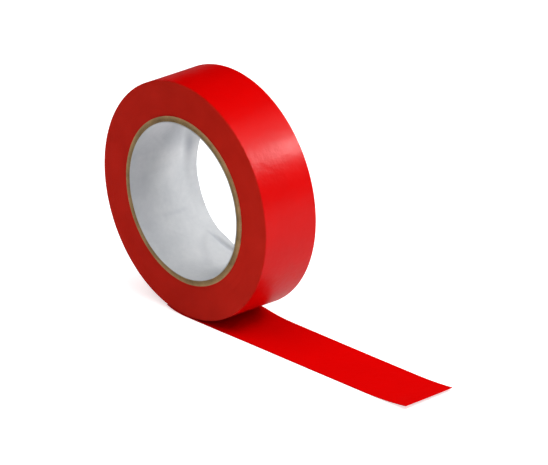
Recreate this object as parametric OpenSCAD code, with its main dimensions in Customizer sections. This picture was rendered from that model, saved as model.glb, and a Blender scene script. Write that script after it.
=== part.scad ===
// Roll of electrical insulating tape, standing on its rim with a loose end run out along the floor.
// Millimetres. The origin is on the roll's axis at the middle of the tape's width.
// +Y runs along the axis to the back of the roll, +X runs the way the loose end lies, and +Z is up.

/* [Tape] */
// Width of the tape
tape_w = 15.6; // [12:0.1:25]
// Thickness of the whole tape, film and adhesive together
tape_t = 0.135; // [0.10:0.005:0.25]
// Thickness of the adhesive coat on its own
adhesive_t = 0.02; // [0.01:0.005:0.05]
// Length of tape supplied on the roll, loose end included
tape_len = 10000; // [5000:500:20000]

/* [Core] */
// Radius of the bore, which is half of the standard 38.1 mm spindle size
bore_r = 19.05; // [12:0.05:40]
// Thickness of the white paper that lines the bore
liner_t = 0.2; // [0.1:0.05:0.5]
// Thickness of one ply of the board tube
ply_t = 0.32; // [0.2:0.02:0.8]
// How far the board tube stands out of the tape at the front
core_front = 0.4; // [0:0.1:1]
// How far the board tube stands out of the tape at the back
core_back = 0.2; // [0:0.1:1]
// How far the lining paper reaches past the tape at the back
liner_back = 3.2; // [0.2:0.1:4]

/* [Loose end] */
// Length of the loose end along its front edge
tail_front_len = 77.1; // [20:0.1:150]
// Length of the loose end along its back edge
tail_back_len = 75.8; // [20:0.1:150]
// How far the loose end runs back under the roll, where the roll's weight presses it flat
tail_heel = 2.5; // [0.5:0.1:4]
// Air between the roll and the loose end, so that the roll can turn
peel_gap = 0.05; // [0.02:0.01:0.2]

/* [Hidden] */
$fn = 180;

// The plies are numbered outwards from the lining.
liner_r = bore_r + liner_t;
core_r = liner_r + 4 * ply_t;
front_y = -tape_w / 2 - core_front;
core_back_y = tape_w / 2 + core_back;
liner_back_y = tape_w / 2 + liner_back;

// The cross-section of the wound tape is the area of the length left on the roll, edge on.
wound_len = tape_len - (tail_front_len + tail_back_len) / 2;
wound_r = sqrt(pow(core_r, 2) + wound_len * tape_t / PI);

// The loose end is tangent to the roll: film below, adhesive above, because the
// adhesive faced the roll's centre before this length was peeled away.
tail_top_z = -wound_r - peel_gap;
tail_seam_z = tail_top_z - adhesive_t;
tail_floor_z = tail_top_z - tape_t;

module tube(inner_r, outer_r, y_from, y_to) {
  translate([0, y_to, 0])
    rotate([90, 0, 0])
      difference() {
        cylinder(r = outer_r, h = y_to - y_from);
        translate([0, 0, -1])
          cylinder(r = inner_r, h = y_to - y_from + 2);
      }
}

module ply(number) {
  tube(liner_r + (number - 1) * ply_t, liner_r + number * ply_t, front_y, core_back_y);
}

module tail_strip(z_from, z_to) {
  translate([0, 0, z_from])
    linear_extrude(height = z_to - z_from)
      polygon([
        [-tail_heel, -tape_w / 2],
        [tail_front_len, -tape_w / 2],
        [tail_back_len, tape_w / 2],
        [-tail_heel, tape_w / 2]
      ]);
}

module core_liner() {
  color([0.80, 0.81, 0.81])
    tube(bore_r, liner_r, front_y, liner_back_y);
}

module core_inner_ply() {
  color([0.42, 0.36, 0.25])
    ply(1);
}

module core_second_ply() {
  color([0.46, 0.40, 0.28])
    ply(2);
}

module core_third_ply() {
  color([0.51, 0.44, 0.31])
    ply(3);
}

module core_outer_ply() {
  color([0.57, 0.49, 0.36])
    ply(4);
}

module wound_tape() {
  color([0.78, 0.02, 0.02])
    tube(core_r, wound_r, -tape_w / 2, tape_w / 2);
}

module tail_film() {
  color([0.80, 0.02, 0.02])
    tail_strip(tail_floor_z, tail_seam_z);
}

module tail_adhesive() {
  color([0.87, 0.01, 0.01])
    tail_strip(tail_seam_z, tail_top_z);
}

core_liner();
core_inner_ply();
core_second_ply();
core_third_ply();
core_outer_ply();
wound_tape();
tail_film();
tail_adhesive();
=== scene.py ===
import math
import bpy
from mathutils import Matrix, Vector, noise


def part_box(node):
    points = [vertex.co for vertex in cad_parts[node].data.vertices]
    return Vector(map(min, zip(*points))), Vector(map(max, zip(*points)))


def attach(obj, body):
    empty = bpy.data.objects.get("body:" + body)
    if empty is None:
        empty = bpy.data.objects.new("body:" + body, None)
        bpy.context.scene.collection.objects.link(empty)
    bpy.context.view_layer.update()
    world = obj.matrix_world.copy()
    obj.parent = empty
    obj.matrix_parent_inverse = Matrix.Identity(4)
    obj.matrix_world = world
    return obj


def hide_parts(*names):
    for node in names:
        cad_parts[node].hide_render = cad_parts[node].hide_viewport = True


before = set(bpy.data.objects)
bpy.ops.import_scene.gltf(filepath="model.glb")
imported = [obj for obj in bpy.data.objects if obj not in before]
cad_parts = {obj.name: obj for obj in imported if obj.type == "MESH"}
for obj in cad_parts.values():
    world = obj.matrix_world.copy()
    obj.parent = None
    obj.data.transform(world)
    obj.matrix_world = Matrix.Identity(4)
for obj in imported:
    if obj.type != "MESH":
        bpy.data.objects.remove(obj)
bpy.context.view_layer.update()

# ---- The table ----
# The roll stands on a big sheet of white acrylic, as small goods are shown. The sheet is lit
# a little from below, so that it looks white and the shadow on it stays pale.
mm = 0.001
table_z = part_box("tail_film")[0].z
table_half = 3.0


def put(name, data):
    """Puts a mesh, a lamp or a lens into the scene as an object."""
    placed = bpy.data.objects.new(name, data)
    bpy.context.scene.collection.objects.link(placed)
    return placed


def solid(name, points, faces):
    """A mesh object from its points and its faces, which are listed outer side out."""
    mesh = bpy.data.meshes.new(name)
    mesh.from_pydata(points, [], faces)
    mesh.update()
    return put(name, mesh)


def level_sheet(name, centre, half):
    """A square sheet that lies level."""
    corners = ((-1, -1), (1, -1), (1, 1), (-1, 1))
    points = [centre + Vector((x * half, y * half, 0)) for x, y in corners]
    return solid(name, points, [(0, 1, 2, 3)])


def finish(name, roughness, shine):
    """A new material of one roughness and shine, with its node tree and its shader."""
    made = bpy.data.materials.new(name)
    made.use_nodes = True
    shader = made.node_tree.nodes["Principled BSDF"]
    shader.inputs["Roughness"].default_value = roughness
    shader.inputs["Specular IOR Level"].default_value = shine
    return made, made.node_tree, shader


def brighter_where_seen(tree, socket, lighting, seen):
    """Gives a glow one strength for lighting other things, and another where it is looked at."""
    looked_at = tree.nodes.new("ShaderNodeLightPath")
    strength = tree.nodes.new("ShaderNodeMapRange")
    strength.inputs["To Min"].default_value = lighting
    strength.inputs["To Max"].default_value = seen
    tree.links.new(looked_at.outputs["Is Camera Ray"], strength.inputs["Value"])
    tree.links.new(strength.outputs["Result"], socket)


table = level_sheet("table", Vector((0, 0, table_z)), table_half)
acrylic, acrylic_tree, acrylic_shader = finish("white_acrylic_table", 0.9, 0.1)
acrylic_shader.inputs["Base Color"].default_value = (0.86, 0.86, 0.86, 1)
acrylic_shader.inputs["Emission Color"].default_value = (1, 1, 1, 1)
brighter_where_seen(acrylic_tree, acrylic_shader.inputs["Emission Strength"], 0.07, 0.70)
table.data.materials.append(acrylic)


# ---- The studio ----
# Three soft lamps light the roll, three others only show in the gloss of its film, and a wide
# white ceiling fills in. A black card lies on the table behind the roll.
def softbox(name, towards, distance, size, power, lights_colour, makes_shine):
    """A square lamp that stands off the roll in one direction and faces it."""
    lamp = bpy.data.lights.new(name, "AREA")
    lamp.shape = "SQUARE"
    lamp.size = size
    lamp.energy = power
    stand = put(name, lamp)
    stand.location = Vector(towards).normalized() * distance
    stand.rotation_euler = Vector(towards).to_track_quat("Z", "Y").to_euler()
    stand.visible_camera = False
    stand.visible_diffuse = lights_colour
    stand.visible_glossy = makes_shine


softbox("key_softbox", (0.63, 0.40, 0.68), 0.30, 0.09, 0.35, True, False)
softbox("back_softbox", (0.45, 0.75, 0.50), 0.30, 0.09, 0.08, True, False)
softbox("low_right_softbox", (0.90, 0.20, 0.05), 0.60, 0.10, 0.50, True, False)
softbox("shine_strip", (0.648, 0.520, 0.565), 0.090, 0.010, 0.019, False, True)
softbox("back_shine_strip", (0.58, 0.92, 0.54), 0.40, 0.05, 0.33, False, True)
softbox("upper_shine_strip", (0.33, 0.61, 0.72), 0.40, 0.14, 0.11, False, True)

# The card keeps the white table out of the gloss of the roll's upper left edge, and only gloss
# sees it
card_centre = Vector((-0.36, 0.28, table_z + 0.5 * mm))
card_half = 0.30
card = level_sheet("black_card", card_centre, card_half)
card_black, _, card_shader = finish("black_card", 1.0, 0.5)
card_shader.inputs["Base Color"].default_value = (0.02, 0.02, 0.02, 1)
card.data.materials.append(card_black)
card.visible_camera = False
card.visible_diffuse = False
card.visible_shadow = False

ceiling = bpy.data.lights.new("white_ceiling", "SUN")
ceiling.angle = math.radians(70)
ceiling.energy = 2.0
ceiling_stand = put("white_ceiling", ceiling)
ceiling_stand.rotation_euler = Vector((0.10, -0.15, 1.0)).to_track_quat("Z", "Y").to_euler()
ceiling_stand.visible_glossy = False

room = bpy.data.worlds.new("pale_studio")
room.use_nodes = True
room_air = room.node_tree.nodes["Background"]
room_air.inputs["Color"].default_value = (1, 1, 1, 1)
brighter_where_seen(room.node_tree, room_air.inputs["Strength"], 0.005, 1.0)
bpy.context.scene.world = room
bpy.context.scene.view_settings.view_transform = "Standard"


# ---- The camera ----
# A long lens looks at the roll from the front right and a little above, held slightly out of
# level. It is aimed to the right of the roll's middle and below it, so the loose end fits in.
azimuth = math.radians(49.6)
elevation = math.radians(22.0)
lean = math.radians(1.3)
camera_distance = 2.4
frame_width = 127.9 * mm
aim_right = 15.05 * mm
aim_down = 9.33 * mm

away = Vector((
    math.sin(azimuth) * math.cos(elevation),
    -math.cos(azimuth) * math.cos(elevation),
    math.sin(elevation),
))
level = Vector((math.cos(azimuth), math.sin(azimuth), 0))
upright = away.cross(level)
camera_right = level * math.cos(lean) - upright * math.sin(lean)
camera_up = upright * math.cos(lean) + level * math.sin(lean)

lens = bpy.data.cameras.new("long_lens")
lens.lens = lens.sensor_width * camera_distance / frame_width
lens.clip_start = 0.05
lens.clip_end = 20
camera = put("camera", lens)
camera_place = camera_right * aim_right - camera_up * aim_down + away * camera_distance
camera_turn = Matrix((camera_right, camera_up, away)).transposed().to_4x4()
camera.matrix_world = Matrix.Translation(camera_place) @ camera_turn
bpy.context.scene.camera = camera


# ---- The core: four plies of tube board ----
# A paper tube is wound from strips of grey-brown board, each glued over the last, and sawn
# to length, so every ply shows its raw edge at both ends and stands a little proud or shy.
ply_names = ["core_inner_ply", "core_second_ply", "core_third_ply", "core_outer_ply"]
ply_tones = [(0.35, 0.235, 0.110), (0.37, 0.245, 0.115), (0.45, 0.300, 0.145), (0.51, 0.335, 0.165)]
ply_steps = 240
ply_thick = 0.32 * mm
ply_chamfer = 0.06 * mm
glue_line = 0.01 * mm
sawn_crown = 0.02 * mm
saw_wander = 0.05 * mm
saw_tooth = 0.02 * mm


def soften(piece, angle):
    """Smooth shading, with a crease wherever two faces meet more sharply than the angle."""
    piece.data.shade_smooth()
    piece.data.set_sharp_from_angle(angle=math.radians(angle))


def on_roll(radius, turned, y):
    """A point of the roll: turned is the angle from the lowest line, towards the loose end."""
    return (radius * math.sin(turned), y, -radius * math.cos(turned))


def ripple(seed, turned, cycles, y=0.0):
    """A smooth random value from -1 to 1 that meets itself after a full turn."""
    return noise.noise(Vector((cycles * math.cos(turned), cycles * math.sin(turned), seed + y)))


def turned_ring(name, steps, outline):
    """A ring whose section at each angle is the closed outline of (radius, y) points there."""
    points, faces = [], []
    count = len(outline(0.0))
    for step in range(steps):
        turned = 2 * math.pi * step / steps
        points += [on_roll(radius, turned, y) for radius, y in outline(turned)]
        here, there = step * count, (step + 1) % steps * count
        for k in range(count):
            n = (k + 1) % count
            faces.append((here + k, here + n, there + n, there + k))
    return solid(name, points, faces)


def pattern(tree, where, scale, detail):
    """A cloudy pattern that is fixed to the piece: the larger its scale, the finer it is."""
    cloudy = tree.nodes.new("ShaderNodeTexNoise")
    cloudy.inputs["Scale"].default_value = scale
    cloudy.inputs["Detail"].default_value = detail
    tree.links.new(where, cloudy.inputs["Vector"])
    return cloudy


def fine_on_coarse(tree, fine, share, coarse):
    """A coarse pattern with a share of a finer one added to it."""
    both = tree.nodes.new("ShaderNodeMath")
    both.operation = "MULTIPLY_ADD"
    both.inputs[1].default_value = share
    tree.links.new(fine.outputs["Fac"], both.inputs[0])
    tree.links.new(coarse.outputs["Fac"], both.inputs[2])
    return both.outputs["Value"]


def two_tones(tree, amount, first, first_at, second, second_at):
    """The colour that goes from the first tone to the second as an amount rises."""
    tones = tree.nodes.new("ShaderNodeValToRGB")
    tones.color_ramp.elements[0].position = first_at
    tones.color_ramp.elements[0].color = (*first, 1)
    tones.color_ramp.elements[1].position = second_at
    tones.color_ramp.elements[1].color = (*second, 1)
    tree.links.new(amount, tones.inputs["Fac"])
    return tones.outputs["Color"]


def relief(tree, heights, strength, depth):
    """A surface that stands in and out with a pattern."""
    raised = tree.nodes.new("ShaderNodeBump")
    raised.inputs["Strength"].default_value = strength
    raised.inputs["Distance"].default_value = depth
    tree.links.new(heights.outputs["Fac"], raised.inputs["Height"])
    return raised


def board(name, tone):
    """Raw tube board: short fibres drawn out along the tube, with paler and darker flecks."""
    made, tree, shader = finish(name, 0.92, 0.15)
    where = tree.nodes.new("ShaderNodeTexCoord").outputs["Object"]
    drawn_out = tree.nodes.new("ShaderNodeMapping")
    drawn_out.inputs["Scale"].default_value = (1.0, 0.35, 1.0)
    tree.links.new(where, drawn_out.inputs["Vector"])
    fibres = pattern(tree, drawn_out.outputs["Vector"], 2600, 5)
    fibres.inputs["Distortion"].default_value = 1.2
    patches = pattern(tree, where, 240, 3)
    flecks = fine_on_coarse(tree, fibres, 0.6, patches)
    darker = [part * 0.72 for part in tone]
    paler = [min(1, part * 1.32) for part in tone]
    colour = two_tones(tree, flecks, darker, 0.55, paler, 1.0)
    tree.links.new(colour, shader.inputs["Base Color"])
    fuzz = relief(tree, fibres, 0.6, 0.05 * mm)
    tree.links.new(fuzz.outputs["Normal"], shader.inputs["Normal"])
    return made


for number, (node, tone) in enumerate(zip(ply_names, ply_tones)):
    low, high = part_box(node)
    outer = high.x
    inner = outer - ply_thick

    def cut_ply(turned):
        """The ply's section at one angle, with its two sawn ends."""
        front = low.y + saw_wander * ripple(number * 9.1, turned, 3)
        front += saw_tooth * ripple(number * 5.3, turned, 30)
        back = high.y + saw_wander * ripple(number * 7.7, turned, 3)
        middle = (inner + outer) / 2
        return [
            (inner + glue_line, front + ply_chamfer),
            (inner + ply_chamfer, front),
            (middle, front - sawn_crown),
            (outer - ply_chamfer, front),
            (outer - glue_line, front + ply_chamfer),
            (outer - glue_line, back - ply_chamfer),
            (outer - ply_chamfer, back),
            (middle, back + sawn_crown),
            (inner + ply_chamfer, back),
            (inner + glue_line, back - ply_chamfer),
        ]

    ply = turned_ring(node + "_board", ply_steps, cut_ply)
    ply.data.materials.append(board(node + "_board", tone))
    soften(ply, 40)
    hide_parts(node)
    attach(ply, "roll")


# ---- The lining: a sleeve of white paper ----
# A strip of uncoated paper is rolled into the bore and stuck here and there, so it lifts in
# soft blisters, and its back end is left long and puckers inwards past the board.
low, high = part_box("core_liner")
lining_thick = 0.2 * mm
bore = high.x - lining_thick
lining_front, lining_back = low.y, high.y
lining_steps, lining_rows = 300, 80
paper_rag = 0.06 * mm


def swell(value, centre, width):
    """A smooth hump of height 1 at the centre that dies away over the width."""
    return math.exp(-((value - centre) / width) ** 2)


def rise(value, start, end):
    """A smooth step from 0 at the start to 1 at the end."""
    share = min(1.0, max(0.0, (value - start) / (end - start)))
    return share * share * (3 - 2 * share)


def on_lining(turned, y):
    """A place on the lining: degrees round from the lowest line, and 0 at the front to 1 at the back."""
    return math.degrees(turned) % 360, (y - lining_front) / (lining_back - lining_front)


def petal_line(degrees):
    """How far back the front edge of the petal lies."""
    return 0.74 - 0.24 * (degrees - 325) / 24


def crease_line(degrees):
    """How far back the crease in front of the lip lies."""
    return 0.865 + 0.07 * (degrees - 332) / 18


def lining_painted_shade(turned, y):
    """How much painted shade darkens the paper at one place, from 0 to 1."""
    degrees, along = on_lining(turned, y)
    # Painted shade: the left wall is greyed round a whiter plateau and fades out at the back end, and
    # the valley behind it is painted greyest
    wall = rise(degrees, 205, 240) * rise(degrees, 335, 300)
    plateau = rise(along, 0.15, 0.42) * rise(degrees, 242, 264)
    grey = 0.42 * wall * (1 - plateau) * rise(along, 0.95, 0.75)
    grey += 0.70 * swell(degrees, 255, 11) * swell(along, 0.885, 0.040)
    # Painted shade along the crease in front of the lip, and along the edge of the petal
    lip = rise(degrees, 322, 332) * rise(degrees, 358, 348)
    grey += lip * 0.75 * swell(along, crease_line(degrees), 0.020)
    grey += lip * 0.25 * swell(along, petal_line(degrees), 0.05)
    # Painted shade along one faint fold across the wall
    grey += 0.25 * swell(degrees, 303, 1.8) * rise(along, 0.30, 0.40) * rise(along, 0.80, 0.65)
    return min(1.0, grey)


def lining_lift(turned, y):
    """How far the paper stands off the board at one place."""
    degrees, along = on_lining(turned, y)
    lift = 0.10 * (0.5 + 0.5 * ripple(3.0, turned, 2.2, along * 2.0))
    # The left wall stands off more and more from the front, up to a long soft plateau
    wall = rise(degrees, 238, 262) * rise(degrees, 350, 322)
    lift += wall * (0.60 * rise(along, 0.0, 0.30) + 0.18 * rise(along, 0.28, 0.42))
    # A petal lower down, and behind it a lip that is creased up off the board
    petal, crease = petal_line(degrees), crease_line(degrees)
    petal_width = rise(degrees, 321, 334) * rise(degrees, 366, 350)
    lift += 0.45 * petal_width * rise(along, petal, petal + 0.10) * rise(along, 0.97, 0.82)
    lip_width = rise(degrees, 325, 338) * rise(degrees, 362, 350)
    lift += 0.85 * lip_width * rise(along, crease, crease + 0.05)
    # A long blister low down, on the loose end's side
    lift += 0.30 * swell(degrees, 30 - 20 * along, 9) * swell(along, 0.80, 0.3)
    # The back end, past the board, curls inwards: most at the upper left, less at the top and right
    curled = 1.7 * swell(degrees, 248, 30) + 0.45 * swell(degrees, 292, 16)
    curled += 0.7 * swell(degrees, 190, 40) + 0.25 * swell(degrees, 60, 50)
    lift += (0.06 + curled * (1 - 0.3 * wall)) * rise(along, 0.80, 1.0)
    # A soft valley down the line that it curls along
    lift -= 0.20 * swell(degrees, 256, 16) * swell(along, 0.82, 0.05)
    # Fine creases where the lining was pressed flat again
    for from_angle, slope, reach in ((322, 55, 0.55), (305, -30, 0.50), (250, 60, 0.35)):
        crease_angle = from_angle + slope * (along - 0.5)
        lift += 0.10 * swell(degrees, crease_angle, 1.6) * swell(along, reach, 0.22)
    return lift * mm


paper_points, paper_faces, paper_painted_shades = [], [], []
for row in range(lining_rows + 1):
    share = row / lining_rows
    for step in range(lining_steps):
        turned = 2 * math.pi * step / lining_steps
        ragged = paper_rag * ripple(21.0, turned, 5) if row in (0, lining_rows) else 0.0
        y = lining_front + (lining_back - lining_front) * share + ragged
        inside = bore - lining_lift(turned, y)
        paper_points += [on_roll(inside, turned, y), on_roll(inside + lining_thick, turned, y)]
        paper_painted_shades += [lining_painted_shade(turned, y), 0.0]
next_row = 2 * lining_steps
last_row = next_row * lining_rows
for row in range(lining_rows):
    for step in range(lining_steps):
        a = 2 * (row * lining_steps + step)
        b = 2 * (row * lining_steps + (step + 1) % lining_steps)
        paper_faces.append((a, a + next_row, b + next_row, b))
        paper_faces.append((a + 1, b + 1, b + next_row + 1, a + next_row + 1))
for step in range(lining_steps):
    a, b = 2 * step, 2 * ((step + 1) % lining_steps)
    paper_faces.append((a, b, b + 1, a + 1))
    paper_faces.append((last_row + a, last_row + a + 1, last_row + b + 1, last_row + b))
lining = solid("paper_lining", paper_points, paper_faces)
soften(lining, 50)
# The painted shade of each point is kept as a colour on the lining: round the left wall's plateau, in
# the valley behind it, and along the creases and the fold
painted_shade_points = lining.data.color_attributes.new("painted_shade_points", "FLOAT_COLOR", "POINT")
for spot, grey in zip(painted_shade_points.data, paper_painted_shades):
    spot.color = (grey, grey, grey, 1)

paper, tree, shader = finish("lining_paper", 0.75, 0.25)
where = tree.nodes.new("ShaderNodeTexCoord").outputs["Object"]
pulp = pattern(tree, where, 900, 6)
cloud = pattern(tree, where, 110, 2)
mottle = fine_on_coarse(tree, pulp, 0.35, cloud)
whites = two_tones(tree, mottle, (0.645, 0.665, 0.69), 0.4, (0.82, 0.83, 0.845), 0.95)
# The painted shade multiplies the paper's whites by a cool grey, as much as each point's painted shade
# says
painted_shade_attribute = tree.nodes.new("ShaderNodeAttribute")
painted_shade_attribute.attribute_name = "painted_shade_points"
painted_shade_mix = tree.nodes.new("ShaderNodeMix")
painted_shade_mix.data_type = "RGBA"
painted_shade_mix.blend_type = "MULTIPLY"
painted_shade_mix.inputs["B"].default_value = (0.67, 0.68, 0.72, 1)
tree.links.new(painted_shade_attribute.outputs["Fac"], painted_shade_mix.inputs["Factor"])
tree.links.new(whites, painted_shade_mix.inputs["A"])
tree.links.new(painted_shade_mix.outputs["Result"], shader.inputs["Base Color"])
tooth = relief(tree, pulp, 0.25, 0.03 * mm)
tree.links.new(tooth.outputs["Normal"], shader.inputs["Normal"])
lining.data.materials.append(paper)
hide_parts("core_liner")
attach(lining, "roll")


# ---- The wound tape ----
# One strip of soft red PVC film, wound under tension with its adhesive inwards. Each turn's
# slit edge shows as a fine ring on the sides, and the last turn ends in a step at the bottom.
low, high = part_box("wound_tape")
wound_radius = high.x
core_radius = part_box("core_outer_ply")[1].x
tape_front, tape_back = low.y, high.y
tape_thick = 0.135 * mm
turn_steps = 168
turns = (wound_radius - core_radius) / tape_thick
spiral_steps = int(turns * turn_steps)

# One turn's slit edge, from its outer corner in: a flat, a groove, then the next turn's corner
edge_faces = 3
edge_flat = 0.092 * mm
edge_groove = 0.022 * mm
corner_set_back = 0.006 * mm
groove_depth = 0.028 * mm
first_turn_set_back = 0.03 * mm

# The sides: a rounded shoulder at the rim, and turns that don't lie quite flush
shoulder_width = 0.65 * mm
shoulder_depth = 0.28 * mm
turn_wander = 0.028 * mm
wander_per_turn = 2.3

# The rim: slight ripples where the film was stretched, which fade out near its two edges
rim_columns = 16
rim_ripple = 0.03 * mm
rim_fade = 6


def turned_at(step):
    """The angle of a step of the spiral, counted back from the lowest line."""
    return 2 * math.pi * (step - spiral_steps) / turn_steps


def outside_of(step):
    """The radius of the tape's outer face at a step of the spiral."""
    return wound_radius + tape_thick * turned_at(step) / (2 * math.pi)


def side_set_back(radius, step):
    """How far a turn's edge lies in from the flat side of the roll."""
    from_rim = max(0.0, 1 - (wound_radius - radius) / shoulder_width)
    rounded = shoulder_depth * (1 - math.sqrt(max(0.0, 1 - from_rim ** 2)))
    wander = noise.noise(Vector((step / turn_steps * wander_per_turn, 4.7, 0)))
    return rounded + turn_wander * (0.5 + 0.5 * wander)


film_kind, slit_kind = 0, 1
tape_points, tape_faces, tape_kinds = [], [], []


def tape_point(radius, step, y):
    """Adds one point of the tape and gives its number."""
    tape_points.append(on_roll(radius, turned_at(step), y))
    return len(tape_points) - 1


def tape_face(corners, kind):
    """Adds one face of the tape: film, or the slit edge of the film."""
    tape_faces.append(corners)
    tape_kinds.append(kind)


sides = {}
for side, flat_y, inward in (("front", tape_front, 1), ("back", tape_back, -1)):
    rows = []
    for step in range(spiral_steps + 1):
        outer = outside_of(step)
        y = flat_y + inward * side_set_back(outer, step)
        rows.append([
            tape_point(outer, step, y + inward * corner_set_back),
            tape_point(outer - edge_flat, step, y),
            tape_point(outer - edge_flat - edge_groove, step, y + inward * groove_depth),
        ])
    inner_line = [
        tape_point(outside_of(step) - tape_thick, step, flat_y + inward * first_turn_set_back)
        for step in range(turn_steps)
    ] + [rows[0][0]]
    sides[side] = (rows, inner_line)


def side_outline(side, step):
    """The points across one turn's edge, out to in, ending on the next turn in."""
    rows, inner_line = sides[side]
    next_in = rows[step - turn_steps][0] if step >= turn_steps else inner_line[step]
    return rows[step] + [next_in]


for side in ("front", "back"):
    for step in range(spiral_steps):
        here, there = side_outline(side, step), side_outline(side, step + 1)
        for k in range(edge_faces):
            corners = (here[k], here[k + 1], there[k + 1], there[k])
            tape_face(corners if side == "front" else corners[::-1], slit_kind)

# The rim is the outer face of the last turn
rim_rows = []
for step in range(spiral_steps - turn_steps, spiral_steps + 1):
    turned = turned_at(step)
    front_point, back_point = sides["front"][0][step][0], sides["back"][0][step][0]
    y_from, y_to = tape_points[front_point][1], tape_points[back_point][1]
    row = [front_point]
    for column in range(1, rim_columns):
        share = column / rim_columns
        fade = min(1.0, rim_fade * share, rim_fade * (1 - share))
        sink = 0.5 + 0.5 * ripple(31.0, turned, 5.0, share * 1.2)
        radius = outside_of(step) - rim_ripple * fade * sink
        row.append(tape_point(radius, step, y_from + (y_to - y_from) * share))
    rim_rows.append(row + [back_point])
for here, there in zip(rim_rows, rim_rows[1:]):
    for k in range(rim_columns):
        tape_face((here[k], there[k], there[k + 1], here[k + 1]), film_kind)

# The inner face lies on the board, and two small walls close the strip's two ends
front_line, back_line = sides["front"][1], sides["back"][1]
for step in range(turn_steps):
    corners = (front_line[step], back_line[step], back_line[step + 1], front_line[step + 1])
    tape_face(corners, film_kind)
start_front, start_back = side_outline("front", 0), side_outline("back", 0)
for k in range(edge_faces):
    tape_face((start_front[k + 1], start_front[k], start_back[k], start_back[k + 1]), slit_kind)
end_front = side_outline("front", spiral_steps)[:edge_faces]
end_back = side_outline("back", spiral_steps)[:edge_faces]
turn_below, last_turn = rim_rows[0], rim_rows[-1]
tape_face(tuple(end_front + turn_below + end_back[::-1] + last_turn[1:-1][::-1]), slit_kind)

wound = solid("wound_pvc_tape", tape_points, tape_faces)
for face, kind in zip(wound.data.polygons, tape_kinds):
    face.material_index = kind
soften(wound, 52)


def pvc_film(name, deep, pale, roughness, shine):
    """Calendered PVC: a satin skin with a very fine grain and slow changes of depth."""
    made, tree, shader = finish(name, roughness, shine)
    where = tree.nodes.new("ShaderNodeTexCoord").outputs["Object"]
    slow = pattern(tree, where, 90, 2)
    reds = two_tones(tree, slow.outputs["Fac"], deep, 0.3, pale, 0.7)
    tree.links.new(reds, shader.inputs["Base Color"])
    grain = pattern(tree, where, 2200, 3)
    satin = tree.nodes.new("ShaderNodeMapRange")
    satin.inputs["To Min"].default_value = roughness - 0.05
    satin.inputs["To Max"].default_value = roughness + 0.06
    tree.links.new(grain.outputs["Fac"], satin.inputs["Value"])
    tree.links.new(satin.outputs["Result"], shader.inputs["Roughness"])
    waves = relief(tree, pattern(tree, where, 650, 2), 1.0, 0.06 * mm)
    skin = relief(tree, grain, 0.4, 0.035 * mm)
    tree.links.new(waves.outputs["Normal"], skin.inputs["Normal"])
    tree.links.new(skin.outputs["Normal"], shader.inputs["Normal"])
    return made


film = pvc_film("red_pvc_film", (0.68, 0.0, 0.0), (0.72, 0.0, 0.0), 0.32, 0.17)

slit, tree, shader = finish("slit_film_edges", 0.8, 0.1)
where = tree.nodes.new("ShaderNodeTexCoord").outputs["Object"]
smear = pattern(tree, where, 160, 4).outputs["Fac"]
edge_reds = two_tones(tree, smear, (0.70, 0.018, 0.008), 0.3, (0.78, 0.023, 0.011), 0.75)
tree.links.new(edge_reds, shader.inputs["Base Color"])

wound.data.materials.append(film)
wound.data.materials.append(slit)
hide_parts("wound_tape")
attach(wound, "roll")


# ---- The loose end ----
# The last 77 mm of the same strip, peeled off at the bottom and run out along the table. Its
# film lies on the table and its adhesive faces up. The knife's cut is slanted, and it lifts.
film_low, film_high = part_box("tail_film")
coat_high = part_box("tail_adhesive")[1]
under_radius = -film_low.z
front_length = film_high.x
cut_slant = 1.3 * mm
wrap = 7.5 * mm
tail_columns, tail_stations = 16, 160

# Beside the roll the strip is still half peeled up. It settles on the table over the next
# stretch, and the length before the cut curls up.
peel_middle, peel_spread = 7 * mm, 6.5 * mm
peel_end = 12 * mm
settle_length = 12 * mm
slack_length = 9 * mm
curl_length = 14 * mm

# Under the roll, where they start, both layers taper to a thin edge at one height
taper_length = 3 * mm
taper_height = 0.11 * mm
taper_least = 0.05


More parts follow.
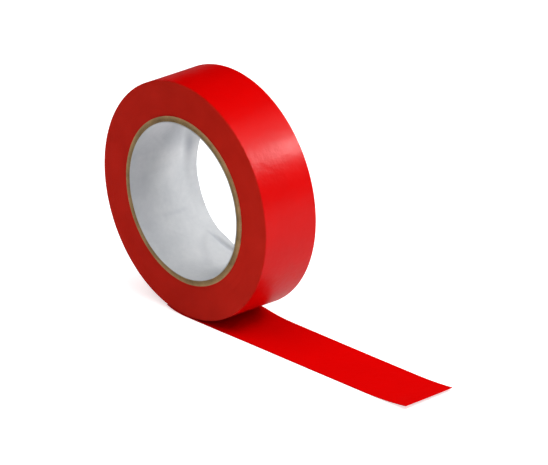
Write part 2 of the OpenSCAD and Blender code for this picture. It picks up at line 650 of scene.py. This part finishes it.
def tail_lift(x, across):
    """How high the strip stands off the table; across is 0 at the front edge, 1 at the back."""
    room = (under_radius - math.sqrt(under_radius ** 2 - min(x, peel_end) ** 2)) / mm
    peel = min(swell(x, peel_middle, peel_spread) * across ** 1.5, room)
    to_cut = max(0.0, (x - (front_length - curl_length)) / curl_length)
    curl = (0.75 + 0.20 * (1 - across) ** 1.2) * to_cut ** 2
    settled = min(1.0, max(0.0, (x - peel_end) / settle_length))
    slack = 0.02 * (1 + math.sin(x / slack_length)) * settled
    cupped = 0.03 * (2 * across - 1) ** 2 * settled
    return (peel + curl + slack + cupped) * mm


def tail_place(travel, across, height):
    """A point of the strip, at a height above its underside."""
    y = tape_front + (tape_back - tape_front) * across
    if travel < 0:
        return on_roll(under_radius - height, travel / under_radius, y)
    return (travel, y, film_low.z + tail_lift(travel, across) + height)


def strip(name, bottom, top, inset):
    """One layer of the loose end, closed all round, between two heights."""
    points, faces = [], []
    edge = inset / (tape_back - tape_front)
    across_steps = [edge + (1 - 2 * edge) * c / tail_columns for c in range(tail_columns + 1)]
    for station in range(tail_stations + 1):
        share = station / tail_stations
        for height in (top, bottom):
            for across in across_steps:
                length = front_length - cut_slant * across - inset
                travel = -wrap + (length + wrap) * share
                full = min(1.0, (travel + wrap) / taper_length + taper_least)
                tapered = height * full + taper_height * (1 - full)
                points.append(tail_place(travel, across, tapered))
    under = tail_columns + 1
    row = 2 * under
    for station in range(tail_stations):
        for c in range(tail_columns):
            a = station * row + c
            faces.append((a, a + row, a + row + 1, a + 1))
            faces.append((a + under, a + under + 1, a + under + row + 1, a + under + row))
        a, z = station * row, station * row + tail_columns
        faces.append((a, a + under, a + under + row, a + row))
        faces.append((z, z + row, z + under + row, z + under))
    last = tail_stations * row
    for c in range(tail_columns):
        faces.append((c, c + 1, c + 1 + under, c + under))
        faces.append((last + c, last + c + under, last + c + 1 + under, last + c + 1))
    made = solid(name, points, faces)
    soften(made, 40)
    return made


film_height = film_high.z - film_low.z
coat_height = coat_high.z - film_low.z
coat_inset = 0.10 * mm
tail = strip("loose_film", 0.0, film_height, 0.0)
tail.data.materials.append(film)
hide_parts("tail_film")
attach(tail, "loose_end")

coat = strip("adhesive_coat", film_height, coat_height, coat_inset)
tacky = pvc_film("tacky_adhesive_over_red", (0.72, 0.0, 0.0), (0.75, 0.0, 0.0), 0.5, 0.05)
coat.data.materials.append(tacky)
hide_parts("tail_adhesive")
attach(coat, "loose_end")
